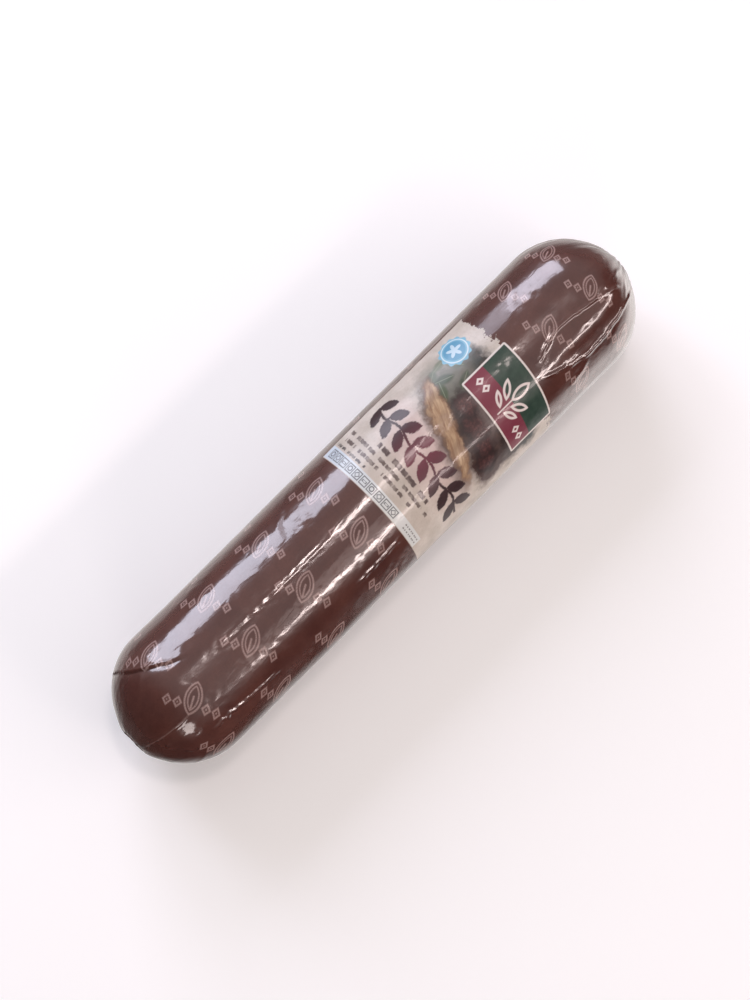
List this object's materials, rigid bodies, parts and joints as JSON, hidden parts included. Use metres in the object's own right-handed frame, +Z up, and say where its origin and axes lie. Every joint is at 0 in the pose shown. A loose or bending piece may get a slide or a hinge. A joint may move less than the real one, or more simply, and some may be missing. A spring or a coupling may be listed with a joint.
{
  "type": "cured sausage",
  "caption": "Whole cured salami chub in a stuffed, printed casing with domed ends, each gathered and closed by a small metal clip.",
  "frame": {"origin": "on the flattened strip that the sausage lies on, under the middle of its length", "axes": "+X along the sausage, towards the end that the label is nearer to; +Z up, away from the strip it lies on; +Y across"},
  "size_m": [0.2812, 0.06, 0.0592],
  "materials": {
    "casing": "gloss",
    "clip": "satin"
  },
  "bodies": {
    "root": {"stuffed_casing": "casing", "clip_label_end": "clip", "clip_plain_end": "clip"}
  },
  "joints": []
}
